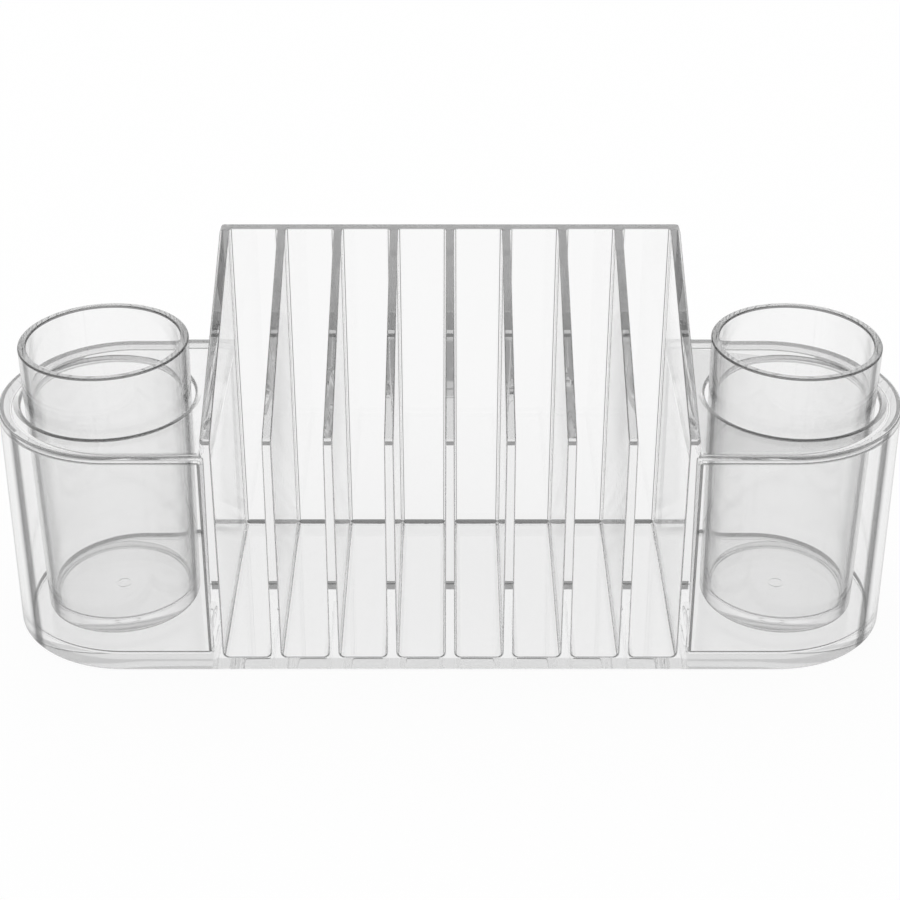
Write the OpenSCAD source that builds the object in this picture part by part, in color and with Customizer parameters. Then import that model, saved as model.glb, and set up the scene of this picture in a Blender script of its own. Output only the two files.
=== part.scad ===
/* [Rack] */
// Number of slots between the dividers
slot_count = 8; // [2:1:12]
// Distance from one slot's centre to the next
slot_pitch = 20; // [14:0.5:40]
// Depth of the rack from its open front to its back face
rack_depth = 91; // [75:1:140]
// Height of the back wall and of the dividers where they meet it
back_height = 129; // [100:1:200]
// Height at which a divider's slope meets the line of its front edge
front_height = 91; // [88:0.5:120]
// Thickness of an inner divider at the height of the back wall's top
divider_top = 2.9; // [2:0.1:3.6]
// Thickness of an inner divider at the slot floor
divider_foot = 3.7; // [3:0.1:6]
// Thickness of the two outer dividers at the slot floor
side_wall = 3.9; // [2.5:0.1:8]
// Thickness of the back wall
back_wall = 3.8; // [2.5:0.1:8]
// Thickness of the base under the slots
rack_floor = 5.5; // [3:0.1:12]
// Radius of the corner between the slot floor and the walls round it
slot_floor_r = 2; // [0.5:0.1:4]
// Radius of the upright corner between a divider and the back wall
slot_back_r = 1.5; // [0.5:0.1:4]
// Radius of the rounded corner at the top of a divider's front edge
front_corner_r = 3; // [1:0.5:12]

/* [Wings] */
// How far each wing stands out from the rack's side
wing_reach = 73.75; // [72:0.25:110]
// How far the wings' backs lie in front of the rack's back face
wing_setback = 5.4; // [1:0.1:10]
// Thickness of the wing's wall
wing_wall = 3.6; // [2:0.1:5]
// Thickness of the wing's floor
wing_floor = 4.6; // [2.5:0.1:10]
// Radius of the corner between the wing's floor and its wall
wing_floor_r = 2; // [0.5:0.1:4]
// Radius of the upright corners where the wing's wall meets the rack
wing_corner_r = 1.5; // [0.5:0.1:4]

/* [Decks] */
// Height of the deck's upper face
deck_height = 85.6; // [60:0.2:87]
// Thickness of the deck plate
deck_t = 2.9; // [2:0.1:5]
// Distance from the wing's outermost edge to the middle of the deck's hole
hole_inset = 37.35; // [35:0.05:39]

/* [Cups] */
// Outer diameter of the cup at its rim
cup_rim_d = 58; // [40:0.5:60]
// How much smaller the cup's outer diameter is at its foot
cup_taper = 3.2; // [0.4:0.2:8]
// Height of the cup
cup_height = 102.4; // [85:0.2:140]
// Thickness of the cup's wall
cup_wall = 2.85; // [1.5:0.05:5]
// Thickness of the cup's floor
cup_floor = 4.9; // [2:0.1:8]
// Radius of the outer corner round the cup's foot
cup_foot_r = 2.5; // [0.5:0.1:3]
// Radius of the inner corner round the cup's floor
cup_inner_r = 2; // [0.5:0.1:5]
// Gap all round between the cup's rim and the deck's hole
cup_clearance = 0.95; // [0.4:0.05:2]

/* [Hidden] */
$fn = 96;
// Overrun of every cut past the face it goes through
over = 1;
// Straight steps that make up each corner along a pocket's floor
corner_steps = 6;

rack_half_w = slot_count * slot_pitch / 2 - divider_foot / 2 + side_wall;
rack_front_y = -rack_depth / 2;
rack_back_y = rack_depth / 2;
slot_back_y = rack_back_y - back_wall;
slot_h = back_height - rack_floor;
slot_foot_w = slot_pitch - divider_foot;
slot_top_w = slot_pitch - divider_top;
// The dividers' slope starts where the round corner on the back wall ends
ridge_y = slot_back_y - slot_back_r;
slope_angle = atan2(back_height - front_height, ridge_y - rack_front_y);

wing_depth = rack_depth - wing_setback;
wing_r = wing_depth / 2;
wing_inner_r = wing_r - wing_wall;
wing_y = rack_front_y + wing_r;
wing_x = rack_half_w + wing_reach - wing_r;
deck_under = deck_height - deck_t;

cup_x = rack_half_w + wing_reach - hole_inset;
cup_rim_r = cup_rim_d / 2;
cup_base_r = cup_rim_r - cup_taper / 2;
hole_r = cup_rim_r + cup_clearance;

CLEAR = [0.86, 0.91, 0.93, 0.55];

// A pocket's section: open at height h, foot_w wide at its floor and top_w wide at its mouth,
// with a corner of radius r on each side of the floor
module pocket_section(foot_w, top_w, h, r) {
    lean = atan2((top_w - foot_w) / 2, h);
    corner_x = foot_w / 2 + r * tan(lean) - r / cos(lean);
    mouth_x = top_w / 2 + over * tan(lean);
    corner = [
        for (i = [0 : corner_steps])
        let (a = -90 + i * (90 - lean) / corner_steps)
        [corner_x + r * cos(a), r + r * sin(a)]
    ];
    right = concat(corner, [[mouth_x, h + over]]);
    left = [for (i = [len(right) - 1 : -1 : 0]) [-right[i][0], right[i][1]]];
    polygon(concat(right, left));
}

// A strip from x = 0 to x = length, w wide, with round corners of radius r at its far end
module round_ended_strip(length, w, r) {
    union() {
        translate([0, -w / 2]) square([length - r, w]);
        translate([0, r - w / 2]) square([length, w - 2 * r]);
        for (side = [-1, 1]) translate([length - r, side * (w / 2 - r)]) circle(r = r);
    }
}

// Stands a drawing up so that its x runs along Y and its y along Z, and draws it along +X
module along_x(length) {
    rotate([90, 0, 90]) linear_extrude(height = length) children();
}

// Stands a drawing up so that its x runs along X and its y along Z, and draws it along -Y
module along_y(length) {
    rotate([90, 0, 0]) linear_extrude(height = length) children();
}

// Side view of the rack: upright back, slope down to the front, rounded front corner
module rack_side_view() {
    corner_y = rack_front_y + front_corner_r;
    corner_z = front_height + front_corner_r * tan(slope_angle) - front_corner_r / cos(slope_angle);
    union() {
        polygon([
            [rack_front_y, 0],
            [rack_front_y, corner_z],
            [corner_y - front_corner_r * sin(slope_angle), corner_z + front_corner_r * cos(slope_angle)],
            [ridge_y, back_height],
            [rack_back_y, back_height],
            [rack_back_y, 0]
        ]);
        translate([corner_y, corner_z]) circle(r = front_corner_r);
    }
}

// One slot, open at the top and the front, centred on x = 0
module slot() {
    slot_l = slot_back_y - rack_front_y + over;
    intersection() {
        translate([0, slot_back_y, rack_floor])
            along_y(slot_l) pocket_section(slot_foot_w, slot_top_w, slot_h, slot_floor_r);
        translate([0, rack_front_y - over, rack_floor - over]) rotate([0, 0, 90])
            linear_extrude(height = slot_h + 3 * over) round_ended_strip(slot_l, slot_top_w, slot_back_r);
        // The floor curves up into the back wall too
        translate([-slot_pitch / 2, slot_back_y - slot_l, rack_floor])
            along_x(slot_pitch) pocket_section(2 * slot_l, 2 * slot_l, slot_h, slot_floor_r);
    }
}

module slots() {
    for (i = [0 : slot_count - 1])
        translate([(i - (slot_count - 1) / 2) * slot_pitch, 0, 0]) slot();
}

// Outline of a wing seen from above: straight from start_x, then half a circle
module wing_outline(start_x) {
    translate([start_x, wing_y - wing_r]) square([wing_x - start_x, wing_depth]);
    intersection() {
        translate([wing_x, wing_y]) circle(r = wing_r);
        translate([start_x, wing_y - wing_r]) square([wing_x + wing_r - start_x, wing_depth]);
    }
}

// The chamber inside the right wing, from its floor up past its wall's top
module wing_chamber() {
    chamber_h = deck_under - wing_floor;
    straight_l = wing_x - rack_half_w;
    // Round end, reaching back to the middle of the straight part
    intersection() {
        translate([wing_x, wing_y, wing_floor]) rotate_extrude() intersection() {
            pocket_section(2 * wing_inner_r, 2 * wing_inner_r, chamber_h, wing_floor_r);
            square([wing_r, chamber_h + over]);
        }
        translate([wing_x - straight_l / 2, wing_y - wing_r, 0])
            cube([straight_l / 2 + wing_r, wing_depth, deck_height]);
    }
    // Straight part, with round corners along the rack's side
    intersection() {
        translate([rack_half_w, wing_y, wing_floor])
            along_x(straight_l) pocket_section(2 * wing_inner_r, 2 * wing_inner_r, chamber_h, wing_floor_r);
        translate([wing_x, wing_y, 0]) rotate([0, 0, 180])
            linear_extrude(height = deck_height) round_ended_strip(straight_l, 2 * wing_inner_r, wing_corner_r);
        translate([wing_x, wing_y + wing_r, wing_floor])
            along_y(wing_depth) pocket_section(2 * straight_l, 2 * straight_l, chamber_h, wing_floor_r);
    }
}

// Moulded body: base, back wall, dividers, and the floor and wall of both wings
module rack_body() {
    color(CLEAR) difference() {
        union() {
            translate([-rack_half_w, 0, 0]) along_x(2 * rack_half_w) rack_side_view();
            for (side = [0, 1]) mirror([side, 0, 0])
                linear_extrude(height = deck_under) wing_outline(0);
        }
        slots();
        for (side = [0, 1]) mirror([side, 0, 0]) wing_chamber();
    }
}

// Plate bonded on top of a wing's wall, with the round hole for the cup
module deck() {
    color(CLEAR) translate([0, 0, deck_under]) difference() {
        linear_extrude(height = deck_t) wing_outline(rack_half_w);
        translate([cup_x, wing_y, -over]) cylinder(r = hole_r, h = deck_t + 2 * over);
    }
}

module right_deck() { deck(); }
module left_deck() { mirror([1, 0, 0]) deck(); }

// Half section of a cup's outside, from its axis to its wall
module cup_outside() {
    intersection() {
        pocket_section(2 * cup_base_r, 2 * cup_rim_r, cup_height, cup_foot_r);
        square([cup_rim_r, cup_height]);
    }
}

// Half section of the space in a cup, open past the rim
module cup_inside() {
    inside_h = cup_height - cup_floor;
    translate([0, cup_floor]) intersection() {
        pocket_section(2 * (cup_base_r - cup_wall), 2 * (cup_rim_r - cup_wall), inside_h, cup_inner_r);
        square([cup_rim_r, inside_h + over]);
    }
}

// Round cup that stands on the wing's floor and lifts out through the deck's hole
module cup() {
    color(CLEAR) translate([cup_x, wing_y, wing_floor]) difference() {
        rotate_extrude() cup_outside();
        rotate_extrude() cup_inside();
    }
}

module right_cup() { cup(); }
module left_cup() { mirror([1, 0, 0]) cup(); }

rack_body();
left_deck();
right_deck();
left_cup();
right_cup();
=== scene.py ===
"""Clear vanity organizer: a rack of upright slots between two round-ended wings with lift-out cups.

The moulding and its two bonded decks are one closed surface, because a bonded joint in clear plastic
shows no inner face: only the fine seam round its outside is modelled. Each cup is a turned shell.
All sizes are in metres.
"""
import logging
import math
from dataclasses import dataclass, field
from enum import Enum

import bmesh
import bpy
import numpy as np
from numpy.typing import NDArray
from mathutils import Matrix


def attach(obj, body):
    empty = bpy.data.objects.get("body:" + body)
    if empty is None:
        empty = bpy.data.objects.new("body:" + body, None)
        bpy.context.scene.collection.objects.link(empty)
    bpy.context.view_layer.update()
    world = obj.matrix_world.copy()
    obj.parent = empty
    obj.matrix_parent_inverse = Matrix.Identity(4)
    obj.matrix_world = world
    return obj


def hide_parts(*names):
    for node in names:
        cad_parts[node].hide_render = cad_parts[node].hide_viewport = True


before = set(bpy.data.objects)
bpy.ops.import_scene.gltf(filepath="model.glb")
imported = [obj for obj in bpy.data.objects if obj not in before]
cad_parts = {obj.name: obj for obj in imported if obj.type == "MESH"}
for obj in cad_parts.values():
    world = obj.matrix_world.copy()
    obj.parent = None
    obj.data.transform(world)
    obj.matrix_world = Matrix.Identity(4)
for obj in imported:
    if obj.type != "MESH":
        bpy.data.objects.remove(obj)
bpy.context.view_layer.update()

LOG = logging.getLogger("organizer")
MM = 0.001
HAIR = 0.01 * MM
Points = NDArray[np.float64]
Mask = NDArray[np.bool_]
Triple = tuple[float, float, float]


class Side(Enum):
    """Which end of the rack a wing or cup stands at, with the sign of its x."""

    LEFT = -1
    RIGHT = 1

    @property
    def label(self) -> str:
        """Word used in piece and body names."""
        return self.name.lower()


class Tone(Enum):
    """Painted shade: brightness, squared, painted into what shows through a kind of face."""

    FLAT = 1.0
    FOOT = 0.8
    RIM = 0.7
    BASE = 0.65
    SOFT_CREASE = 0.6
    HOLE_BACK = 0.4
    EDGE = 0.25
    TOP_BAND = 0.22
    HIGH_SLOPE = 0.2
    # Painted dark patches on the slopes and painted dark bands on the dividers' front edges.
    MARK = 0.14
    CREASE = 0.09
    LINE = 0.06


class Operation(Enum):
    """What a solid does to the moulding: joins it or is cut out of it."""

    JOIN = "UNION"
    CUT = "DIFFERENCE"


# ---- Surfaces ----

def rounded_outlines(corners: Points, radii: Points, steps: NDArray[np.int64], insets: Points) -> Points:
    """Convex outlines with round corners, one for each inset.

    Every side moves inwards by the inset. A corner's arc keeps its centre while the radius less the
    inset stays above zero: the centre lies (inset + radius) away from both sides, along the sum of
    their inward normals divided by one plus the cosine of the turn. The arc runs from one side's
    outward normal to the next one's.

    Args:
        corners: (rings, corners, 2) sharp corners, anticlockwise.
        radii: (corners,) radius of each corner before the inset.
        steps: (corners,) straight steps along each corner's arc.
        insets: (rings,) how far each ring moves inwards.

    Returns:
        (rings, points, 2) outlines with the same number of points.
    """
    ahead = np.roll(corners, -1, axis=1) - corners
    ahead /= np.linalg.norm(ahead, axis=2, keepdims=True)
    behind = np.roll(ahead, 1, axis=1)
    normal_in = np.stack([-behind[..., 1], behind[..., 0]], axis=-1)
    normal_out = np.stack([-ahead[..., 1], ahead[..., 0]], axis=-1)
    turn = np.arctan2(
        behind[..., 0] * ahead[..., 1] - behind[..., 1] * ahead[..., 0],
        (behind * ahead).sum(axis=-1),
    )
    radius = np.maximum(radii[None, :] - insets[:, None], HAIR / 1000)
    reach = (radius + insets[:, None]) / (1 + (normal_in * normal_out).sum(axis=-1))
    centre = corners + reach[..., None] * (normal_in + normal_out)
    start = np.arctan2(-normal_in[..., 1], -normal_in[..., 0])

    count = steps + 1
    which = np.repeat(np.arange(len(count)), count)
    first = np.repeat(np.cumsum(count) - count, count)
    part = (np.arange(count.sum()) - first) / np.repeat(np.maximum(steps, 1), count)
    angle = start[:, which] + turn[:, which] * part[None, :]
    arc = np.stack([np.cos(angle), np.sin(angle)], axis=-1)
    return centre[:, which] + radius[:, which, None] * arc


def quarter_round(radius: float, steps: int) -> Points:
    """Section of a rounded edge between a flat end and a side.

    At angle a from 0 to a right angle, the point is radius * (1 - cos a) from the end and
    radius * (1 - sin a) inside the side.

    Args:
        radius: Radius of the edge.
        steps: Straight steps along it.

    Returns:
        (steps + 1, 2) distances from the end and from the side.
    """
    angle = np.linspace(0, math.pi / 2, steps + 1)
    return radius * np.stack([1 - np.cos(angle), 1 - np.sin(angle)], axis=1)


def stack_up(outlines: Points, heights: Points) -> Points:
    """Rings of points: each flat outline at its own height.

    Args:
        outlines: (rings, points, 2) x and y of each outline.
        heights: (rings,) z of each outline.

    Returns:
        (rings, points, 3) rings, lowest first.
    """
    z = np.broadcast_to(heights[:, None, None], (*outlines.shape[:2], 1))
    return np.concatenate([outlines, z], axis=2)


def skin(name: str, rings: Points) -> bpy.types.Object:
    """Closed mesh over a grid of points: ring number along it, place in the ring around it.

    Neighbouring rings are joined by four-sided faces, and the two end rings are filled.

    Args:
        name: Name of the object.
        rings: (rings, points, 3) grid of points.

    Returns:
        The object, linked to the scene, with its faces pointing outwards.
    """
    count, around, _ = rings.shape
    i, j = np.meshgrid(np.arange(count - 1), np.arange(around), indexing="ij")
    near, far = i * around, (i + 1) * around
    after = (j + 1) % around
    faces = np.stack([near + j, near + after, far + after, far + j], axis=-1).reshape(-1, 4).tolist()
    faces.append(list(range(around))[::-1])
    faces.append(list(range((count - 1) * around, count * around)))
    mesh = bpy.data.meshes.new(name)
    mesh.from_pydata(rings.reshape(-1, 3).tolist(), [], faces)
    bm = bmesh.new()
    bm.from_mesh(mesh)
    bmesh.ops.remove_doubles(bm, verts=bm.verts, dist=HAIR / 5)
    bmesh.ops.dissolve_degenerate(bm, edges=bm.edges, dist=HAIR / 100)
    bmesh.ops.recalc_face_normals(bm, faces=bm.faces)
    bm.to_mesh(mesh)
    bm.free()
    obj = bpy.data.objects.new(name, mesh)
    bpy.context.scene.collection.objects.link(obj)
    return obj


def mirrored(rings: Points, side: Side) -> Points:
    """Rings of the right-hand part, or their mirror image across the rack's middle."""
    return rings * np.array([side.value, 1, 1])


def combine(base: bpy.types.Object, tools: list[bpy.types.Object], operation: Operation) -> None:
    """Joins solids to a base or cuts them out of it, then removes them.

    Args:
        base: Object whose mesh is replaced by the result.
        tools: Closed solids that take part.
        operation: Whether they are joined or cut out.
    """
    group = bpy.data.collections.new(operation.name)
    for tool in tools:
        bpy.context.scene.collection.objects.unlink(tool)
        group.objects.link(tool)
    modifier = base.modifiers.new(operation.name, "BOOLEAN")
    modifier.operation = operation.value
    modifier.solver = "MANIFOLD"
    modifier.operand_type = "COLLECTION"
    modifier.collection = group
    depsgraph = bpy.context.evaluated_depsgraph_get()
    result = bpy.data.meshes.new_from_object(base.evaluated_get(depsgraph))
    base.modifiers.clear()
    base.data = result
    for tool in tools:
        bpy.data.objects.remove(tool)
    bpy.data.collections.remove(group)


def soften_edges(obj: bpy.types.Object, radius: float, sharpest: float, segments: int) -> Mask:
    """Rounds every edge that turns by more than an angle.

    The rounding leaves the faces in an order of its own in every run, so they are put in the order
    of their points.

    Args:
        obj: Object whose mesh is changed.
        radius: Width of the rounding on each side of the edge.
        sharpest: Turn, in degrees, past which an edge is rounded.
        segments: Straight steps across the rounding.

    Returns:
        (faces,) whether each face is part of a rounding.
    """
    bm = bmesh.new()
    bm.from_mesh(obj.data)
    limit = math.radians(sharpest)
    edges = [edge for edge in bm.edges if edge.calc_face_angle(0) > limit]
    bmesh.ops.bevel(
        bm,
        geom=edges,
        offset=radius,
        offset_type="OFFSET",
        segments=segments,
        profile=0.5,
        affect="EDGES",
        clamp_overlap=False,
        miter_outer="SHARP",
        material=1,
    )
    bmesh.ops.remove_doubles(bm, verts=bm.verts, dist=HAIR / 2)
    bmesh.ops.recalc_face_normals(bm, faces=bm.faces)
    bm.verts.index_update()
    ordered = sorted(bm.faces, key=lambda face: sorted(vert.index for vert in face.verts))
    for place, face in enumerate(ordered):
        face.index = place
    bm.faces.sort()
    bm.to_mesh(obj.data)
    bm.free()
    index = np.empty(len(obj.data.polygons), dtype=np.int32)
    obj.data.polygons.foreach_get("material_index", index)
    obj.data.polygons.foreach_set("material_index", np.zeros_like(index))
    return index == 1


def score(obj: bpy.types.Object, faces: Mask, point: Triple, across: Triple) -> None:
    """Divides faces along a plane without changing the surface, so each side takes its own painted shade.

    Args:
        obj: Object whose mesh is changed.
        faces: (faces,) whether each face is divided.
        point: A point on the plane.
        across: Direction across the plane.
    """
    bm = bmesh.new()
    bm.from_mesh(obj.data)
    bm.faces.ensure_lookup_table()
    chosen = [bm.faces[index] for index in np.flatnonzero(faces)]
    edges = dict.fromkeys(edge for face in chosen for edge in face.edges)
    verts = dict.fromkeys(vert for face in chosen for vert in face.verts)
    geometry = [*chosen, *edges, *verts]
    bmesh.ops.bisect_plane(bm, geom=geometry, dist=HAIR / 10, plane_co=point, plane_no=across)
    bm.to_mesh(obj.data)
    bm.free()


@dataclass(frozen=True)
class Faces:
    """Centres and normals of a mesh's faces, each (faces, 3).

    Parts of a normal are compared with bare numbers: they are cosines of how far a face is tilted.
    """

    centres: Points
    normals: Points

    @classmethod
    def of(cls, obj: bpy.types.Object) -> "Faces":
        """Reads them from an object's mesh.

        Args:
            obj: The object.

        Returns:
            Its faces, in the order of the mesh.
        """
        count = len(obj.data.polygons)
        centres, normals = np.empty(count * 3), np.empty(count * 3)
        obj.data.polygons.foreach_get("center", centres)
        obj.data.polygons.foreach_get("normal", normals)
        return cls(centres.reshape(-1, 3), normals.reshape(-1, 3))

    @property
    def out(self) -> Points:
        """Distance of the centres from the middle of the rack, along X."""
        return np.abs(self.centres[:, 0])

    @property
    def y(self) -> Points:
        """Y of the centres."""
        return self.centres[:, 1]

    @property
    def z(self) -> Points:
        """Z of the centres."""
        return self.centres[:, 2]

    @property
    def up(self) -> Points:
        """How far up the faces look: Z of their normals."""
        return self.normals[:, 2]

    @property
    def back(self) -> Points:
        """How far back the faces look: Y of their normals."""
        return self.normals[:, 1]

    @property
    def upright(self) -> Mask:
        """Whether the faces are upright, or nearly so."""
        return np.abs(self.up) < 0.2


def between(values: Points, low: float | Points, high: float | Points) -> Mask:
    """Whether values lie between two limits."""
    return (values > low) & (values < high)


Rule = tuple[Mask, Tone]


def painted(count: int, rules: list[Rule]) -> Points:
    """Painted shade of every face: flat, unless a rule covers it. A later rule covers an earlier one.

    Args:
        count: Number of faces.
        rules: Faces that each rule covers, and their painted shade.

    Returns:
        (faces,) painted shades.
    """
    painted_shades = np.full(count, Tone.FLAT.value)
    for covered, tone in rules:
        painted_shades[covered] = tone.value
    return painted_shades


def paint_shade_line_ahead(painted_shades: Points, line: Mask, ahead: Points) -> None:
    """Paints shade on a ring of faces, darker towards its front, where it becomes a thin dark line.

    The painted shade grows as the square root of the distance ahead of the ring's middle.

    Args:
        painted_shades: (faces,) painted shades, changed in place.
        line: (faces,) whether each face is part of the ring.
        ahead: (faces,) distance ahead of the ring's middle, as a share of its radius.
    """
    reached = np.sqrt(np.clip(ahead[line], 0, 1))
    painted_shades[line] = np.minimum(painted_shades[line], 1 + reached * (Tone.LINE.value - 1))


def write_faces(obj: bpy.types.Object, name: str, values: Points) -> None:
    """Stores a value for each face in the mesh, for the finish to read."""
    layer = obj.data.attributes.new(name, "FLOAT", "FACE")
    layer.data.foreach_set("value", values.astype(np.float32))


def shade(obj: bpy.types.Object, crease: float = 40.0) -> None:
    """Shades a piece smooth, with its flats kept flat.

    Args:
        obj: The piece.
        crease: Turn, in degrees, past which an edge stays sharp.
    """
    obj.data.shade_smooth()
    obj.data.set_sharp_from_angle(angle=math.radians(crease))
    weighted = obj.modifiers.new("flats", "WEIGHTED_NORMAL")
    weighted.keep_sharp = True
    weighted.weight = 100


# ---- Finishes ----

Input = float | tuple[float, ...] | bpy.types.NodeSocket


def blank_material(name: str) -> tuple[bpy.types.Material, bpy.types.Node]:
    """Makes a new material with no node but its output.

    Args:
        name: Name of the material.

    Returns:
        The material and its output node.
    """
    material = bpy.data.materials.new(name)
    material.use_nodes = True
    material.node_tree.nodes.clear()
    return material, material.node_tree.nodes.new("ShaderNodeOutputMaterial")


def add_node(tree: bpy.types.NodeTree, kind: str, inputs: dict[str | int, Input]) -> bpy.types.Node:
    """Adds a shader node and fills its inputs.

    Args:
        tree: Node tree that it goes into.
        kind: Its type, without the word ShaderNode.
        inputs: Numbers, colours or other nodes' outputs, by the input's name or place.

    Returns:
        The node.
    """
    node = tree.nodes.new("ShaderNode" + kind)
    for key, value in inputs.items():
        if isinstance(value, bpy.types.NodeSocket):
            tree.links.new(value, node.inputs[key])
        else:
            node.inputs[key].default_value = value
    return node


def calculate(tree: bpy.types.NodeTree, operation: str, *values: Input) -> bpy.types.NodeSocket:
    """Adds a Math node.

    Args:
        tree: Node tree that it goes into.
        operation: What it works out.
        values: Its inputs, in order.

    Returns:
        Its output socket.
    """
    node = add_node(tree, "Math", dict(enumerate(values)))
    node.operation = operation
    return node.outputs["Value"]


@dataclass(frozen=True)
class ClearPlastic:
    """Polished clear plastic, with the faint waviness and haze that a mould leaves, and painted shade.

    Attributes:
        name: Name of the material.
        tint: Colour that the plastic gives to what shows through it.
        ior: Index of refraction.
        wave_scale: Waves per metre on the moulded faces.
        wave_height: Height of the waves.
        wave_strength: Share of that height that bends the light.
        haze: Roughness where the polish is poorest.
        haze_scale: Patches of haze per metre.
        haze_from: Level of the patches' noise, from 0 to 1, at which the haze starts.
        haze_full: Level at which it is full.
        smoke: Absorption: over one metre divided by this, light falls to 1/e of itself.
        shade_streaks: Painted shade: dark streaks of round walls. Each stop is a turn away from the eye
            (one less the cosine of its angle), and the brightness, squared, painted into what shows
            through there.
    """

    name: str
    tint: Triple = (0.955, 0.955, 0.955)
    ior: float = 1.512
    wave_scale: float = 26.0
    wave_height: float = 0.0004
    wave_strength: float = 0.03
    haze: float = 0.012
    haze_scale: float = 67.6
    haze_from: float = 0.55
    haze_full: float = 0.8
    smoke: float = 0.9
    # Painted shade: stops of the dark streaks of round walls.
    shade_streaks: tuple[tuple[float, float], ...] = (
        (0.0, 1.0), (0.42, 0.95), (0.54, 0.75), (0.6, 0.5), (0.65, 0.1), (0.72, 0.03), (0.76, 0.35),
        (0.86, 0.5), (0.94, 0.02),
    )

    def material(self) -> bpy.types.Material:
        """Builds the material: a slow surface wave, patches of haze, a trace of smoke and painted shade.

        Returns:
            The material.
        """
        material, output = blank_material(self.name)
        tree = material.node_tree
        place = add_node(tree, "TexCoord", {}).outputs["Object"]
        wave = add_node(tree, "TexNoise", {"Vector": place, "Scale": self.wave_scale, "Detail": 1.0})
        bump = add_node(tree, "Bump", {
            "Strength": self.wave_strength,
            "Distance": self.wave_height,
            "Height": wave.outputs["Fac"],
        })
        cloud = add_node(tree, "TexNoise", {"Vector": place, "Scale": self.haze_scale, "Detail": 4.0})
        haze = add_node(tree, "MapRange", {
            "Value": cloud.outputs["Fac"],
            "From Min": self.haze_from,
            "From Max": self.haze_full,
            "To Min": 0.0,
            "To Max": self.haze,
        })
        shader = add_node(tree, "BsdfPrincipled", {
            "Base Color": (*self.tint, 1),
            "Roughness": haze.outputs["Result"],
            "IOR": self.ior,
            "Normal": bump.outputs["Normal"],
            "Transmission Weight": 1.0,
        })
        smoke = add_node(tree, "VolumeAbsorption", {"Color": (0, 0, 0, 1), "Density": self.smoke})
        tree.links.new(self.seen_colour(tree), shader.inputs["Base Color"])
        tree.links.new(shader.outputs["BSDF"], output.inputs["Surface"])
        tree.links.new(smoke.outputs["Volume"], output.inputs["Volume"])
        return material

    def seen_colour(self, tree: bpy.types.NodeTree) -> bpy.types.NodeSocket:
        """Colour of what shows through: painted darker at edges and where a round wall turns away.

        Every face has its own painted shade, and its own share of the painted dark streaks, which is
        nothing on flat walls.

        Args:
            tree: Node tree of the material.

        Returns:
            Output socket with the colour.
        """
        share = tree.nodes.new("ShaderNodeAttribute")
        share.attribute_name = "round"
        # Painted shade of each face, stored by the moulding and the cups.
        tone = tree.nodes.new("ShaderNodeAttribute")
        tone.attribute_name = "tone"
        shade_streaked = tree.nodes.new("ShaderNodeMix")
        dimmed = tree.nodes.new("ShaderNodeMix")
        for mix in (shade_streaked, dimmed):
            mix.data_type = "RGBA"
            mix.blend_type = "MULTIPLY"
        shade_streaked.inputs["A"].default_value = (*self.tint, 1)
        tree.links.new(self.shade_streak_ramp(tree), shade_streaked.inputs["B"])
        tree.links.new(share.outputs["Fac"], shade_streaked.inputs["Factor"])
        dimmed.inputs["Factor"].default_value = 1.0
        tree.links.new(shade_streaked.outputs["Result"], dimmed.inputs["A"])
        tree.links.new(tone.outputs["Fac"], dimmed.inputs["B"])
        return dimmed.outputs["Result"]

    def shade_streak_ramp(self, tree: bpy.types.NodeTree) -> bpy.types.NodeSocket:
        """Adds nodes that give the painted streaks' brightness, squared, by the turn away from the eye.

        Args:
            tree: Node tree of the material.

        Returns:
            Output socket with the brightness.
        """
        # Painted shade: darker as a face turns away from the eye.
        turned = add_node(tree, "LayerWeight", {"Blend": 0.5})
        ramp = add_node(tree, "ValToRGB", {"Fac": turned.outputs["Facing"]})
        stops = ramp.color_ramp.elements
        for turn, _ in self.shade_streaks[1:-1]:
            stops.new(turn)
        for stop, (turn, brightness) in zip(stops, self.shade_streaks):
            stop.position = turn
            stop.color = (brightness, brightness, brightness, 1)
        return ramp.outputs["Color"]


@dataclass(frozen=True)
class WhiteSweep:
    """Matt white sheet under the organizer: it shows white, and keeps part of the shadow on it.

    Attributes:
        name: Name of the material.
        colour: Colour of the sheet.
        open_glow: Share of its brightness, seen directly, that doesn't depend on the light on it.
        inner_glow: The same share where it is seen in gloss or through clear plastic.
    """

    name: str = "white_sweep"
    colour: Triple = (0.96, 0.96, 0.96)
    open_glow: float = 0.94
    inner_glow: float = 0.85

    def material(self) -> bpy.types.Material:
        """Builds the material: matt paper for the light that falls on it, white where it is seen.

        Returns:
            The material.
        """
        material, output = blank_material(self.name)
        tree = material.node_tree
        matt = add_node(tree, "BsdfDiffuse", {"Color": (*self.colour, 1)})
        white = add_node(tree, "Emission", {"Strength": 1.0})
        path = add_node(tree, "LightPath", {}).outputs
        inner = calculate(tree, "MAXIMUM", path["Is Glossy Ray"], path["Is Transmission Ray"])
        inner = calculate(tree, "MULTIPLY", inner, self.inner_glow)
        share = calculate(tree, "MULTIPLY_ADD", path["Is Camera Ray"], self.open_glow, inner)
        layers = {"Fac": share, 1: matt.outputs["BSDF"], 2: white.outputs["Emission"]}
        blend = add_node(tree, "MixShader", layers)
        tree.links.new(blend.outputs["Shader"], output.inputs["Surface"])
        return material


def seen_rays(tree: bpy.types.NodeTree) -> bpy.types.NodeSocket:
    """Adds nodes that give 1 for rays seen directly, in gloss or through clear plastic, else 0.

    Args:
        tree: Node tree that they go into.

    Returns:
        Output socket with the 1 or 0.
    """
    path = add_node(tree, "LightPath", {}).outputs
    outer = calculate(tree, "MAXIMUM", path["Is Camera Ray"], path["Is Glossy Ray"])
    return calculate(tree, "MAXIMUM", outer, path["Is Transmission Ray"])


# ---- The organizer ----

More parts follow.
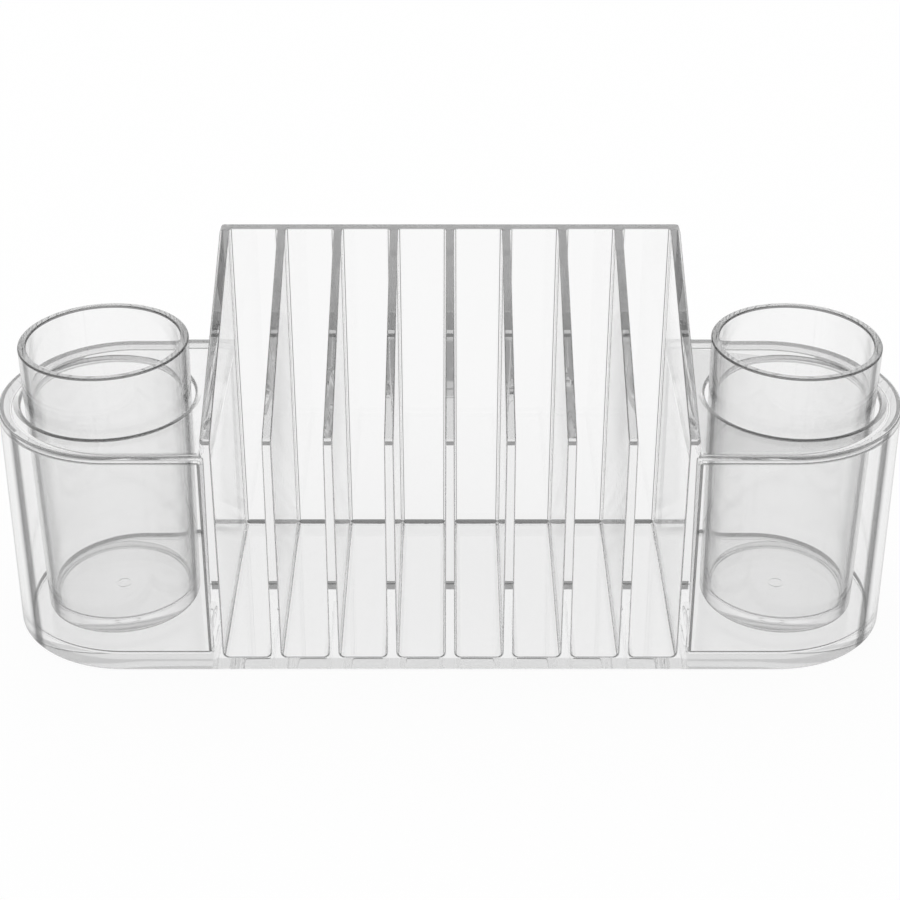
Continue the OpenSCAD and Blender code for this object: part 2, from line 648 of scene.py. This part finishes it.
@dataclass
class Wing:
    """Round-ended tub at the rack's side, with a deck plate bonded on its wall."""

    rack_half_w: float
    rack_front_y: float
    depth: float = 85.6 * MM
    reach: float = 73.73 * MM
    wall: float = 3.6 * MM
    floor: float = 4.6 * MM
    floor_r: float = 2.0 * MM
    corner_r: float = 1.5 * MM
    deck_top: float = 85.6 * MM
    deck_t: float = 2.9 * MM
    hole_inset: float = 37.35 * MM
    hole_r: float = 29.95 * MM
    edge_r: float = 0.6 * MM
    hole_edge_r: float = 1.3 * MM
    ring_w: float = 1.2 * MM
    ring_h: float = 0.02 * MM
    glue_r: float = 1.2 * MM
    foot_r: float = 0.6 * MM
    seam_half_h: float = 0.22 * MM
    seam_depth: float = 0.1 * MM
    edge_steps: int = 4
    corner_steps: int = 6
    round_steps: int = 56
    hole_steps: int = 192
    overlap: float = 2 * MM

    @property
    def middle_y(self) -> float:
        """Y of the wing's middle line."""
        return self.rack_front_y + self.depth / 2

    @property
    def cup_x(self) -> float:
        """X of the cup's axis in the right wing."""
        return self.rack_half_w + self.reach - self.hole_inset

    @property
    def deck_under(self) -> float:
        """Height of the deck's lower face."""
        return self.deck_top - self.deck_t

    def outlines(self, start_x: float, inset: float, corner_r: float, insets: Points) -> Points:
        """Outlines from above: straight from the rack, then half a circle.

        Args:
            start_x: X of the end at the rack.
            inset: How far all of them lie inside the wing's outer face.
            corner_r: Radius of the two corners at the rack.
            insets: (rings,) further inset of each ring.

        Returns:
            (rings, points, 2) outlines.
        """
        half = self.depth / 2 - inset
        end_x = self.rack_half_w + self.reach - inset
        low, high = self.middle_y - half, self.middle_y + half
        corners = np.array([[start_x, low], [end_x, low], [end_x, high], [start_x, high]])
        corners = np.broadcast_to(corners, (len(insets), 4, 2))
        radii = np.array([corner_r, half, half, corner_r])
        steps = np.array([self.corner_steps, self.round_steps, self.round_steps, self.corner_steps])
        return rounded_outlines(corners, radii, steps, insets)

    def edge_distance(self, points: Points) -> Points:
        """How far points lie inside the wing's outer outline, away from the rack.

        Args:
            points: (points, 3) places.

        Returns:
            (points,) distances, less than nothing outside it.
        """
        half = self.depth / 2
        along = np.maximum(np.abs(points[:, 0]) - (self.rack_half_w + self.reach - half), 0)
        return half - np.hypot(along, points[:, 1] - self.middle_y)

    def chamber_shade_line(self, faces: Faces) -> Mask:
        """Which faces take the painted dark line round the chamber: a narrow strip of its rounded corners.

        On the straight walls it follows the turn away from the wall, so that it curves in the
        chamber's corners. On the round wall it follows the rise alone. Along the deck it is thinner.

        Args:
            faces: Faces of the moulding.

        Returns:
            (faces,) whether each face is part of the line.
        """
        straight = faces.out < self.rack_half_w + self.reach - self.depth / 2
        turn = np.where(straight, np.hypot(faces.normals[:, 0], faces.up), np.abs(faces.up))
        widest = np.where(faces.z > self.deck_under - self.glue_r, 0.4, 0.7)
        inside = (faces.out > self.rack_half_w) & between(faces.z, self.floor, self.deck_under)
        inside &= self.edge_distance(faces.centres) > self.wall
        return inside & between(turn, 0.1, widest)

    def outer_rules(self, faces: Faces, outside: Mask) -> list[Rule]:
        """Painted shade of the wing's foot, and of the band along the back and the end of the deck.

        Args:
            faces: Faces of the moulding.
            outside: (faces,) whether each face lies outside the rack.

        Returns:
            Rules for the tones.
        """
        edge = self.edge_distance(faces.centres)
        behind = (faces.y - self.middle_y) / (self.depth / 2)
        band = outside & (faces.z > self.deck_top - HAIR) & (edge < self.wall)
        band &= (behind > 0.5) | ((behind > -0.6) & (edge < self.wall / 2))
        return [
            (outside & faces.upright & (faces.z < self.floor), Tone.BASE),
            (band, Tone.TOP_BAND),
        ]

    def deck_rules(self, faces: Faces, outside: Mask) -> list[Rule]:
        """Painted shade of the deck's edge and seam, the chamber's outline and the hole's edge.

        Args:
            faces: Faces of the moulding.
            outside: (faces,) whether each face lies outside the rack.

        Returns:
            Rules for the tones.
        """
        seam_top = self.deck_under + self.seam_half_h
        deck = outside & between(faces.z, self.deck_under - self.seam_half_h, self.deck_top)
        deck &= between(np.abs(faces.up), 0.1, 0.97)
        return [
            (deck, Tone.EDGE),
            (deck & (faces.z < seam_top), Tone.SOFT_CREASE),
            (self.chamber_shade_line(faces), Tone.CREASE),
            (deck & (self.edge_distance(faces.centres) > self.wall), Tone.HOLE_BACK),
        ]

    def hole_ring(self, faces: Faces, outside: Mask) -> Mask:
        """Which faces lie on the rounded edge of the deck's hole or the narrow ring round it.

        Args:
            faces: Faces of the moulding.
            outside: (faces,) whether each face lies outside the rack.

        Returns:
            (faces,) whether each face is part of them.
        """
        away = np.hypot(faces.out - self.cup_x, faces.y - self.middle_y)
        near = away < self.hole_r + self.hole_edge_r + self.ring_w
        return outside & near & between(faces.z, self.deck_under, self.deck_top)

    def block(self) -> Points:
        """Rings of the solid wing, reaching into the rack, with the deck's seam round it.

        The seam is a shallow groove whose depth follows the cosine of its height's angle.

        Returns:
            (rings, points, 3) rings, lowest first.
        """
        foot = quarter_round(self.foot_r, self.edge_steps)
        angle = np.linspace(-math.pi / 2, math.pi / 2, self.edge_steps + 1)
        seam = np.stack(
            [self.deck_under + self.seam_half_h * np.sin(angle), self.seam_depth * np.cos(angle)], axis=1
        )
        top = quarter_round(self.edge_r, self.edge_steps)[::-1]
        top[:, 0] = self.deck_top - top[:, 0]
        inner = [[self.deck_top, self.wall / 2], [self.deck_top, self.wall]]
        section = np.concatenate([foot, [[self.floor, 0.0]], seam, top, inner])
        outlines = self.outlines(self.rack_half_w - self.overlap, 0.0, 2 * HAIR, section[:, 1])
        return stack_up(outlines, section[:, 0])

    def chamber(self) -> Points:
        """Rings of the space inside the wing, rounded along its floor and its glued deck.

        Returns:
            (rings, points, 3) rings, lowest first.
        """
        section = quarter_round(self.floor_r, self.corner_steps) + [self.floor, 0.0]
        glue = quarter_round(self.glue_r, self.edge_steps)[::-1] * [-1, 1] + [self.deck_under, 0.0]
        section = np.concatenate([section, glue])
        outlines = self.outlines(self.rack_half_w, self.wall, self.corner_r, section[:, 1])
        return stack_up(outlines, section[:, 0])

    def deck_hole(self) -> Points:
        """Rings of the round hole, flared along the deck's two faces by a quarter round.

        A ring round it, sunk by a hair, is where the polish of the rounded edge ends.

        Returns:
            (rings, points, 3) rings, lowest first.
        """
        angle = np.linspace(0, math.pi / 2, self.edge_steps + 1)
        flare = self.hole_edge_r * (1 - np.cos(angle))
        rise = self.hole_edge_r * np.sin(angle)
        heights = np.concatenate([
            [self.deck_under - self.overlap],
            self.deck_under + self.hole_edge_r - rise[::-1],
            self.deck_top - self.ring_h - self.hole_edge_r + rise,
            [self.deck_top, self.deck_top + self.overlap / 2],
        ])
        wide = flare[-1] + self.ring_w
        widths = np.concatenate([[flare[-1]], flare[::-1], flare, [wide, wide + self.overlap / 2]])
        widths += self.hole_r
        turn = np.linspace(0, 2 * math.pi, self.hole_steps, endpoint=False)
        x = self.cup_x + widths[:, None] * np.cos(turn)
        y = self.middle_y + widths[:, None] * np.sin(turn)
        return stack_up(np.stack([x, y], axis=2), heights)


@dataclass
class RackMoulding:
    """Rack of upright slots with sloping dividers, moulded in one with the two wings."""

    finish: ClearPlastic
    slot_count: int = 8
    slot_pitch: float = 20 * MM
    depth: float = 91 * MM
    back_height: float = 129 * MM
    front_height: float = 91 * MM
    divider_top: float = 2.9 * MM
    divider_foot: float = 3.7 * MM
    side_wall: float = 3.9 * MM
    back_wall: float = 3.8 * MM
    floor: float = 5.5 * MM
    slot_floor_r: float = 2.0 * MM
    slot_back_r: float = 1.5 * MM
    front_corner_r: float = 3.0 * MM
    foot_r: float = 0.6 * MM
    back_top_r: float = 0.5 * MM
    ridge_r: float = 1.0 * MM
    edge_r: float = 1.2 * MM
    mouth_r: float = 0.4 * MM
    # Y where the slopes' painted shade changes from grey to clear.
    change_y: float = -2.0 * MM
    # Length of the painted glint and of the painted dark patch beside it.
    glint: float = 1.4 * MM
    # Top and height of the painted dark band on each divider's front edge.
    shade_band_z: float = 37.0 * MM
    shade_band_h: float = 3.4 * MM
    overrun: float = 1 * MM
    edge_steps: int = 4
    corner_steps: int = 6
    # Run over which the painted dark streaks grow round the wings' outer walls.
    shade_streaks_grow: float = 10 * MM
    wing: Wing = field(init=False)

    def __post_init__(self) -> None:
        """Places the wing at the rack's side."""
        self.wing = Wing(rack_half_w=self.half_w, rack_front_y=-self.depth / 2)

    @property
    def half_w(self) -> float:
        """Half of the rack's width."""
        return self.slot_count * self.slot_pitch / 2 - self.divider_foot / 2 + self.side_wall

    @property
    def slot_back_y(self) -> float:
        """Y of the back wall's inner face."""
        return self.depth / 2 - self.back_wall

    @property
    def bend_y(self) -> float:
        """Y at which a divider's slope ends and its rounded front corner starts.

        Returns:
            The Y, in front of the middle of the rack.
        """
        run = self.slot_back_y - self.slot_back_r + self.depth / 2
        slope = math.atan2(self.back_height - self.front_height, run)
        return self.front_corner_r * (1 - math.sin(slope)) - self.depth / 2

    def block(self) -> Points:
        """Rings of the solid rack: its side view carried along X, drawn in at both ends.

        Returns:
            (rings, points, 3) rings, from left to right.
        """
        front, back = -self.depth / 2, self.depth / 2
        ridge = self.slot_back_y - self.slot_back_r
        corners = np.array([
            [front, 0.0],
            [back, 0.0],
            [back, self.back_height],
            [ridge, self.back_height],
            [front, self.front_height],
        ])
        radii = np.array([self.foot_r, self.foot_r, self.back_top_r, self.ridge_r, self.front_corner_r])
        end = quarter_round(self.edge_r, self.edge_steps)
        section = np.concatenate([end, end[::-1] * [-1, 1] + [2 * self.half_w, 0]])
        corners = np.broadcast_to(corners, (len(section), 5, 2))
        steps = self.edge_steps * np.array([1, 1, 1, 1, 2])
        outlines = rounded_outlines(corners, radii, steps, section[:, 1])
        x = np.broadcast_to((section[:, 0] - self.half_w)[:, None, None], (*outlines.shape[:2], 1))
        return np.concatenate([x, outlines], axis=2)

    def slot(self, index: int) -> Points:
        """Rings of one slot's space: it widens with height, and curves into its floor and back.

        Its half width grows evenly from its floor to its mouth, as the dividers taper.

        Args:
            index: Number of the slot from the left, from 0.

        Returns:
            Rings from the slot's floor to above its mouth and past the rack's front.
        """
        section = quarter_round(self.slot_floor_r, self.corner_steps) + [self.floor, 0.0]
        section = np.concatenate([section, [[self.back_height + self.overrun, 0.0]]])
        up = (section[:, 0] - self.floor) / (self.back_height - self.floor)
        half = (self.slot_pitch - self.divider_foot + up * (self.divider_foot - self.divider_top)) / 2
        middle = (index - (self.slot_count - 1) / 2) * self.slot_pitch
        front = np.full_like(half, -self.depth / 2 - 6 * self.overrun)
        back = np.full_like(half, self.slot_back_y)
        x = np.stack([middle - half, middle + half, middle + half, middle - half], axis=1)
        y = np.stack([front, front, back, back], axis=1)
        radii = np.array([HAIR, HAIR, self.slot_back_r, self.slot_back_r])
        steps = self.corner_steps * np.array([0, 0, 1, 1])
        outlines = rounded_outlines(np.stack([x, y], axis=2), radii, steps, section[:, 1])
        return stack_up(outlines, section[:, 0])

    def build(self) -> bpy.types.Object:
        """Joins the rack and wings, cuts the slots, chambers and holes, and rounds the mouths.

        Returns:
            The moulding, with the painted shade and the share of the painted dark streaks of every face.
        """
        piece = skin("rack_moulding", self.block())
        combine(piece, [skin("wing", mirrored(self.wing.block(), side)) for side in Side], Operation.JOIN)
        spaces = [skin("slot", self.slot(index)) for index in range(self.slot_count)]
        for side in Side:
            spaces.append(skin("chamber", mirrored(self.wing.chamber(), side)))
            spaces.append(skin("hole", mirrored(self.wing.deck_hole(), side)))
        combine(piece, spaces, Operation.CUT)
        self.score_dividers(piece)
        rounded = soften_edges(piece, self.mouth_r, sharpest=50.0, segments=3)
        faces = Faces.of(piece)
        # Painted shade of every face, and its share of the painted dark streaks, for the material.
        write_faces(piece, "tone", self.painted_shades(faces, rounded))
        write_faces(piece, "round", self.shade_streak_share(faces))
        return piece

    def score_dividers(self, piece: bpy.types.Object) -> None:
        """Divides the dividers' slopes and front edges where guided light and painted shade change.

        Args:
            piece: The moulding.
        """
        change, step = self.change_y, self.glint
        for y in (change, change - step, change - 2 * step, self.bend_y + step):
            faces = Faces.of(piece)
            slopes = (faces.z > self.wing.deck_top + self.overrun) & between(faces.up, 0.8, 0.95)
            score(piece, slopes, (0, y, 0), (0, 1, 0))
        for z in (self.shade_band_z, self.shade_band_z - self.shade_band_h, self.floor - self.mouth_r):
            score(piece, self.fronts(Faces.of(piece)), (0, 0, z), (0, 0, 1))

    def fronts(self, faces: Faces) -> Mask:
        """Which faces look straight ahead at the front of the rack."""
        return (faces.back < -0.99) & (faces.y < self.overrun - self.depth / 2)

    def shade_streak_share(self, faces: Faces) -> Points:
        """Share of the painted dark streaks on every face: it grows round the wings' outer walls,
        from nothing.

        Args:
            faces: Faces of the finished moulding.

        Returns:
            (faces,) shares, from 0 to 1.
        """
        wing = self.wing
        past = faces.out - (self.half_w + wing.reach - wing.depth / 2)
        outer = wing.edge_distance(faces.centres) < wing.wall / 2
        return outer * np.clip(past / self.shade_streaks_grow, 0, 1) * (1 - faces.up**2)

    def upper_rules(self, faces: Faces, in_rack: Mask) -> list[Rule]:
        """Painted shade of the dividers' slopes and of the top of the back wall.

        A slope is painted grey behind its change and left clear before it. A painted glint and a
        painted dark patch lie at the change, and again at its front corner.

        Args:
            faces: Faces of the moulding.
            in_rack: (faces,) whether each face is part of the rack.

        Returns:
            Rules for the tones.
        """
        change, step = self.change_y, self.glint
        upper = in_rack & (faces.z > self.wing.deck_top + self.overrun) & (faces.up > 0.3)
        slope = upper & (faces.up < 0.95)
        steep = faces.up < 0.7
        return [
            (slope & (faces.y > change), Tone.HIGH_SLOPE),
            (slope & between(faces.y, change - 2 * step, change - step), Tone.MARK),
            (slope & (faces.y < self.bend_y) & steep, Tone.MARK),
            # Painted glints: full brightness between the painted dark patches.
            (slope & between(faces.y, change - step, change), Tone.FLAT),
            (slope & (faces.y < self.bend_y + step) & ~steep, Tone.FLAT),
            (upper & (faces.up > 0.98), Tone.TOP_BAND),
        ]

    def front_rules(self, faces: Faces, in_rack: Mask) -> list[Rule]:
        """Painted shade of the base's front and of the dark band on each divider's front edge.

        Args:
            faces: Faces of the moulding.
            in_rack: (faces,) whether each face is part of the rack.

        Returns:
            Rules for the tones.
        """
        front = in_rack & self.fronts(faces)
        return [
            (front & (faces.z < self.floor), Tone.BASE),
            (front & between(faces.z, self.shade_band_z - self.shade_band_h, self.shade_band_z), Tone.MARK),
        ]

    def slot_rules(self, faces: Faces, in_rack: Mask, rounded: Mask) -> list[Rule]:
        """Painted shade: thin dark lines along the slots' floors, corners and mouths.

        Args:
            faces: Faces of the moulding.
            in_rack: (faces,) whether each face is part of the rack.
            rounded: (faces,) whether each face is part of a rounded mouth.

        Returns:
            Rules for the tones.
        """
        fillet = in_rack & between(faces.z, self.floor, self.floor + self.slot_floor_r)
        corner = in_rack & faces.upright & (faces.y > self.slot_back_y - 2 * self.slot_back_r)
        return [
            (fillet & between(faces.up, 0.5, 0.7), Tone.SOFT_CREASE),
            (rounded & (faces.z < self.floor + self.overrun / 2), Tone.SOFT_CREASE),
            (corner & between(np.abs(faces.normals[:, 0]), 0.5, 0.7), Tone.MARK),
            (fillet & between(faces.up, 0.3, 0.85) & (faces.back < -0.25), Tone.LINE),
        ]

    def painted_shades(self, faces: Faces, rounded: Mask) -> Points:
        """Painted shade of every face: grey upper edges, and thin lines along mouths and inner corners.

        Args:
            faces: Faces of the finished moulding.
            rounded: (faces,) whether each face is part of a rounded mouth.

        Returns:
            (faces,) tones.
        """
        wing = self.wing
        in_rack = faces.out < self.half_w + 10 * HAIR
        painted_shades = painted(len(rounded), [
            *self.upper_rules(faces, in_rack),
            *self.front_rules(faces, in_rack),
            *wing.outer_rules(faces, ~in_rack),
            (rounded, Tone.EDGE),
            *self.slot_rules(faces, in_rack, rounded),
            *wing.deck_rules(faces, ~in_rack),
        ])
        # Painted shade: a thin dark line along the front of the hole's edge.
        paint_shade_line_ahead(painted_shades, wing.hole_ring(faces, ~in_rack), (wing.middle_y - faces.y) / wing.hole_r)
        return painted_shades

    def dress(self, piece: bpy.types.Object) -> None:
        """Gives the piece its finish, body and place in the model.

        Args:
            piece: The finished moulding.
        """
        piece.data.materials.clear()
        piece.data.materials.append(self.finish.material())
        shade(piece)
        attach(piece, "rack")
        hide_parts("rack_body", "left_deck", "right_deck")


@dataclass
class Cup:
    """Round cup with a thick floor, which stands on a wing's floor and lifts out."""

    side: Side
    axis_x: float
    axis_y: float
    base_z: float
    finish: ClearPlastic
    rim_d: float = 58 * MM
    taper: float = 3.2 * MM
    height: float = 102.4 * MM
    wall: float = 2.85 * MM
    floor: float = 4.9 * MM
    foot_r: float = 2.5 * MM
    inner_r: float = 2.0 * MM
    rim_r: float = 0.7 * MM
    rest_gap: float = 0.05 * MM
    gate_r: float = 2.6 * MM
    gate_w: float = 0.9 * MM
    gate_h: float = 0.12 * MM
    corner_steps: int = 8
    rim_steps: int = 6
    wall_points: int = 8
    turns: int = 192
    # Share of the painted dark streaks on the inner wall.
    inner_shade_streaks: float = 0.35

    def outside_r(self, z: float | Points) -> float | Points:
        """Outer radius at a height: it grows evenly from foot to rim."""
        return (self.rim_d - self.taper) / 2 + self.taper / 2 * z / self.height

    @staticmethod
    def arc(x: float, z: float, radius: float, start: float, end: float, steps: int) -> Points:
        """Points along a circle's arc round (x, z), between two angles in degrees."""
        angle = np.radians(np.linspace(start, end, steps + 1))
        return np.stack([x + radius * np.cos(angle), z + radius * np.sin(angle)], axis=1)

    def section(self) -> Points:
        """Half section, from the foot's round corner up, over the rim and down to the gate mark.

        The foot, the rim's two edges and the inner corner are arcs of a circle, the walls are
        straight lines, and the gate mark on the floor is a ring whose height follows a raised
        cosine of the distance from its middle. The foot and the floor inside the ring are level.

        Returns:
            (points, 2) distance from the axis and height above the foot.
        """
        foot_x = self.outside_r(self.foot_r) - self.foot_r
        foot = self.arc(foot_x, self.foot_r + self.rest_gap, self.foot_r, -90, 0, self.corner_steps)
        rim_x, rim_z = self.outside_r(self.height) - self.rim_r, self.height - self.rim_r
        over = self.arc(rim_x, rim_z, self.rim_r, 0, 90, self.rim_steps)
        mouth_x = rim_x + 2 * self.rim_r - self.wall
        back = self.arc(mouth_x, rim_z, self.rim_r, 90, 180, self.rim_steps)
        corner_x = self.outside_r(self.floor) - self.wall - self.inner_r
        corner = self.arc(corner_x, self.floor + self.inner_r, self.inner_r, 0, -90, self.corner_steps)
        gate_x = self.gate_r + self.gate_w * np.linspace(0.5, -0.5, self.corner_steps + 1)
        gate_z = self.gate_h / 2 * (1 + np.cos(2 * math.pi * (gate_x - self.gate_r) / self.gate_w))
        gate = np.stack([gate_x, self.floor + gate_z], axis=1)
        outer_z = np.linspace(self.floor, rim_z, self.wall_points)[:-1]
        outer = np.stack([self.outside_r(outer_z), outer_z], axis=1)
        inner_z = np.linspace(rim_z, self.floor + self.inner_r, self.wall_points)[1:-1]
        inner = np.stack([self.outside_r(inner_z) - self.wall, inner_z], axis=1)
        return np.concatenate([foot, outer, over, back, inner, corner, gate])

    def build(self) -> bpy.types.Object:
        """Turns the section about the cup's axis.

        Returns:
            The cup, with the painted shade and the share of the painted dark streaks of every face.
        """
        section = self.section()
        turn = np.linspace(0, 2 * math.pi, self.turns, endpoint=False)
        x = self.axis_x + section[:, :1] * np.cos(turn)
        y = self.axis_y + section[:, :1] * np.sin(turn)
        z = np.broadcast_to(self.base_z + section[:, 1:], x.shape)
        piece = skin(f"{self.side.label}_cup_shell", np.stack([x, y, z], axis=2))
        faces = Faces.of(piece)
        # Painted shade of every face, and its share of the painted dark streaks, for the material.
        write_faces(piece, "tone", self.painted_shades(faces))
        write_faces(piece, "round", self.shade_streak_share(faces))
        return piece

    def shade_streak_share(self, faces: Faces) -> Points:
        """Share of the painted dark streaks on every face: all of them outside and a part inside.

        Args:
            faces: Faces of the cup.

        Returns:
            (faces,) shares, from 0 to 1.
        """
        from_axis = faces.centres - [self.axis_x, self.axis_y, 0]
        outwards = (from_axis * faces.normals)[:, :2].sum(axis=1) > 0
        return np.where(outwards, 1.0, self.inner_shade_streaks) * (1 - faces.up**2)

    def painted_shades(self, faces: Faces) -> Points:
        """Painted shade of every face: thin lines along the rim, the inner corner and the foot.

        Args:
            faces: Faces of the cup.

        Returns:
            (faces,) tones.
        """
        z, up = faces.z - self.base_z, faces.up
        rim = z > self.height - self.rim_r
        low = (z < self.floor + self.inner_r) & (np.abs(up) < 0.9)
        corner = low & (z > self.floor) & (up > 0.05)
        foot = low & (up < -0.05)
        painted_shades = painted(len(z), [
            (low, Tone.FOOT),
            (foot & ((up > -0.2) | (up < -0.7)), Tone.HOLE_BACK),
            (corner & ((up < 0.2) | (up > 0.85)), Tone.HOLE_BACK),
            (rim & (up > 0.1), Tone.CREASE),
            (rim & (up > 0.9), Tone.RIM),
        ])
        # Painted shade: a thin dark line along the front of the inner corner.
        paint_shade_line_ahead(painted_shades, corner & between(up, 0.15, 0.85), (self.axis_y - faces.y) / (self.rim_d / 2))
        return painted_shades

    def dress(self, piece: bpy.types.Object) -> None:
        """Gives the cup its finish, body and place in the model.

        Args:
            piece: The finished cup.
        """
        piece.data.materials.append(self.finish.material())
        shade(piece)
        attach(piece, f"{self.side.label}_cup")
        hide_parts(f"{self.side.label}_cup")


# ---- The studio ----

@dataclass
class Studio:
    """White sweep, the soft white room round it, and the camera at the photograph's place."""

    floor_half: float = 4.0
    floor_gap: float = 0.0004
    camera_place: Triple = (0.0, -0.60603, 0.41280)
    camera_tilt: float = 27.471
    camera_lens: float = 79.2
    camera_shift: float = -0.1
    ceiling: float = 0.6
    ceiling_from: float = 0.59
    ceiling_to: float = 0.68
    inner_bounces: int = 64

    def lay_sweep(self) -> None:
        """Lays the sweep a hair under the organizer."""
        half = self.floor_half
        corners = np.array([[-half, -half], [half, -half], [half, half], [-half, half]])
        mesh = bpy.data.meshes.new("sweep")
        points = np.column_stack([corners, np.full(4, -self.floor_gap)])
        mesh.from_pydata(points.tolist(), [], [[0, 1, 2, 3]])
        sweep = bpy.data.objects.new("sweep", mesh)
        bpy.context.scene.collection.objects.link(sweep)
        mesh.materials.append(WhiteSweep().material())

    def light_room(self) -> None:
        """Lights the scene with a white room whose ceiling is darker.

        Clear plastic is only visible by what it bends into view: its flats show the white walls and
        sweep, and its edges show the ceiling as thin grey lines.
        """
        world = bpy.data.worlds.new("room")
        bpy.context.scene.world = world
        world.use_nodes = True
        tree = world.node_tree
        background = tree.nodes["Background"]
        place = add_node(tree, "TexCoord", {})
        axes = add_node(tree, "SeparateXYZ", {"Vector": place.outputs["Generated"]})
        dimmed = add_node(tree, "MapRange", {
            "Value": axes.outputs["Z"],
            "From Min": self.ceiling_from,
            "From Max": self.ceiling_to,
            "To Min": 1.0,
            "To Max": self.ceiling,
        })
        dimmed.interpolation_type = "SMOOTHSTEP"
        blend = tree.nodes.new("ShaderNodeMix")
        blend.data_type = "FLOAT"
        blend.inputs["A"].default_value = 1.0
        tree.links.new(seen_rays(tree), blend.inputs["Factor"])
        tree.links.new(dimmed.outputs["Result"], blend.inputs["B"])
        tree.links.new(blend.outputs["Result"], background.inputs["Strength"])
        background.inputs["Color"].default_value = (1, 1, 1, 1)

    def place_camera(self) -> None:
        """Places the camera at the photograph's viewing angle."""
        data = bpy.data.cameras.new("camera")
        data.sensor_width = 36
        data.lens = self.camera_lens
        data.shift_y = self.camera_shift
        camera = bpy.data.objects.new("camera", data)
        camera.location = self.camera_place
        camera.rotation_euler = (math.pi / 2 - math.radians(self.camera_tilt), 0, 0)
        bpy.context.scene.collection.objects.link(camera)
        bpy.context.scene.camera = camera

    def follow_light_through(self) -> None:
        """Lets light bounce often enough to get out of the long clear walls again."""
        cycles = bpy.context.scene.cycles
        cycles.max_bounces = self.inner_bounces
        cycles.glossy_bounces = self.inner_bounces
        cycles.transmission_bounces = self.inner_bounces

    def build(self) -> None:
        """Sets up the whole studio."""
        self.lay_sweep()
        self.light_room()
        self.place_camera()
        self.follow_light_through()
        bpy.context.scene.view_settings.view_transform = "Standard"


def report(piece: bpy.types.Object) -> None:
    """Logs a piece's size, face count, volume and open edges.

    Args:
        piece: The finished piece.
    """
    bm = bmesh.new()
    bm.from_mesh(piece.data)
    open_edges = sum(1 for edge in bm.edges if len(edge.link_faces) != 2)
    volume = bm.calc_volume(signed=True) / MM**3
    bm.free()
    size = [round(length / MM, 2) for length in piece.dimensions]
    LOG.info("%s: %s mm, %d faces, %.0f mm3, %d open edges",
             piece.name, size, len(piece.data.polygons), volume, open_edges)


def main() -> None:
    """Builds the organizer and the studio, and reports each piece."""
    logging.basicConfig(level=logging.INFO, format="%(name)s: %(message)s")
    finish = ClearPlastic(
        name="clear_moulding",
        # Stops of the moulding's painted dark streaks, by the turn away from the eye.
        shade_streaks=(
            (0.0, 1.0), (0.45, 0.95), (0.56, 0.85), (0.59, 0.12), (0.65, 0.03), (0.68, 0.4), (0.72, 0.85),
            (0.85, 0.7), (0.92, 0.03),
        ),
    )
    rack = RackMoulding(finish=finish)
    moulding = rack.build()
    rack.dress(moulding)
    report(moulding)
    for side in Side:
        cup = Cup(
            side=side,
            axis_x=side.value * rack.wing.cup_x,
            axis_y=rack.wing.middle_y,
            base_z=rack.wing.floor,
            finish=ClearPlastic(name=f"clear_{side.label}_cup"),
        )
        shell = cup.build()
        cup.dress(shell)
        report(shell)
    Studio().build()


if __name__ == "__main__":
    main()
